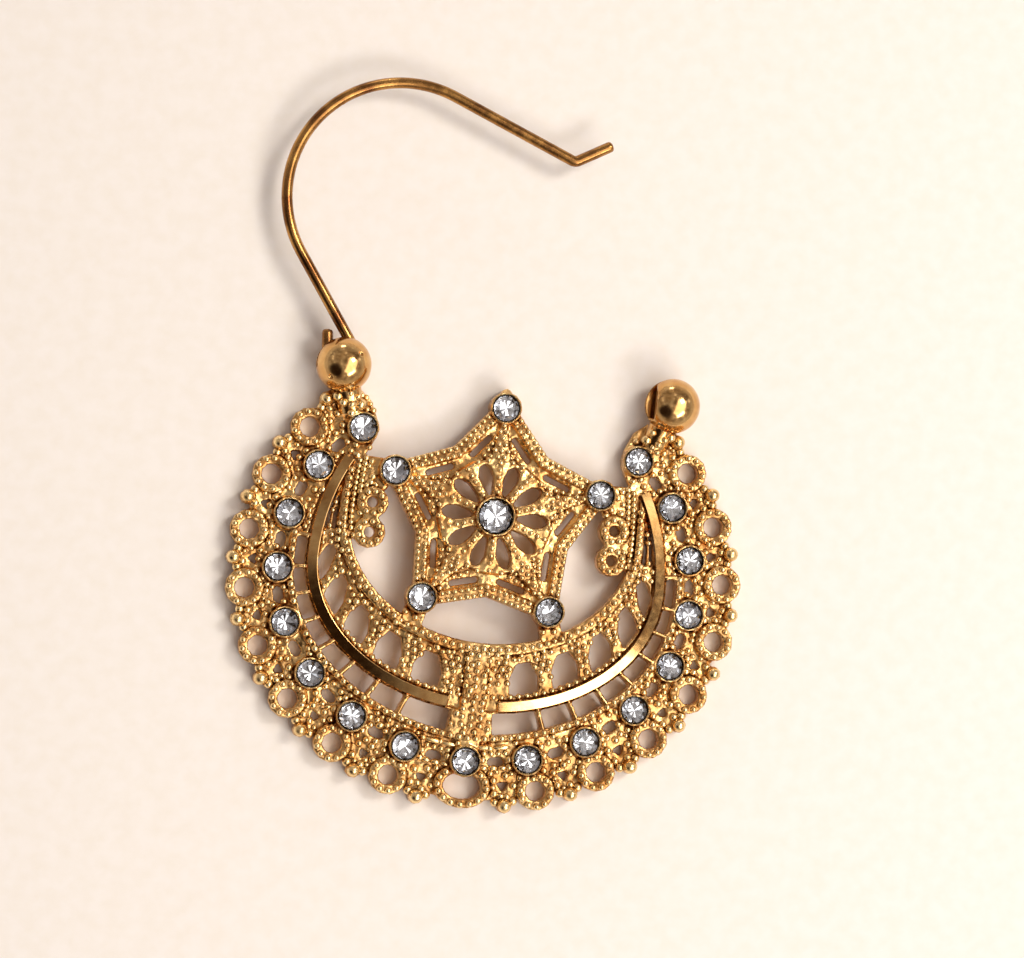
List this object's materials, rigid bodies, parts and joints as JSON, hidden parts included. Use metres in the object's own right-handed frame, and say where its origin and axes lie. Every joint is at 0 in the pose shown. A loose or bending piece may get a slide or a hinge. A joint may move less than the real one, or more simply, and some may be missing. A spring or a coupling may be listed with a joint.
{
  "type": "crescent hoop earring",
  "caption": "Filigree crescent hoop earring with a stone-set star in its middle, lying open on its back, with an ear wire that swings on a ball hinge and drops into a slotted ball.",
  "frame": {"origin": "the surface it lies on, under the middle of its outline", "axes": "+Y from the crescent towards the ear wire, +Z out of the earring's face, +X to the wearer's left as the face is seen"},
  "size_m": [0.0374, 0.0516, 0.004],
  "materials": {
    "gilt_metal": "cast and gilt, polished on the high places, browned in the recesses",
    "wire_metal": "drawn wire, smooth, a little darker than the hoop",
    "clear_stone": "clear cut glass with a silvered back"
  },
  "bodies": {
    "hoop": {"filigree_hoop": "gilt_metal", "crescent_stone_01": "clear_stone", "crescent_stone_02": "clear_stone", "crescent_stone_03": "clear_stone", "crescent_stone_04": "clear_stone", "crescent_stone_05": "clear_stone", "crescent_stone_06": "clear_stone", "crescent_stone_07": "clear_stone", "crescent_stone_08": "clear_stone", "crescent_stone_09": "clear_stone", "crescent_stone_10": "clear_stone", "crescent_stone_11": "clear_stone", "crescent_stone_12": "clear_stone", "crescent_stone_13": "clear_stone", "crescent_stone_14": "clear_stone", "crescent_stone_15": "clear_stone", "crescent_stone_16": "clear_stone", "crescent_stone_17": "clear_stone", "star_stone_1": "clear_stone", "star_stone_2": "clear_stone", "star_stone_3": "clear_stone", "star_stone_4": "clear_stone", "star_stone_5": "clear_stone", "centre_stone": "clear_stone"},
    "wire": {"ear_wire": "wire_metal"}
  },
  "joints": [
    {"name": "wire_hinge", "type": "hinge", "parent": "hoop", "child": "wire", "pos_m": [-0.012, 0.00472, 0.002], "axis": [0, 0, 1], "range_deg": [-47, 15]}
  ]
}
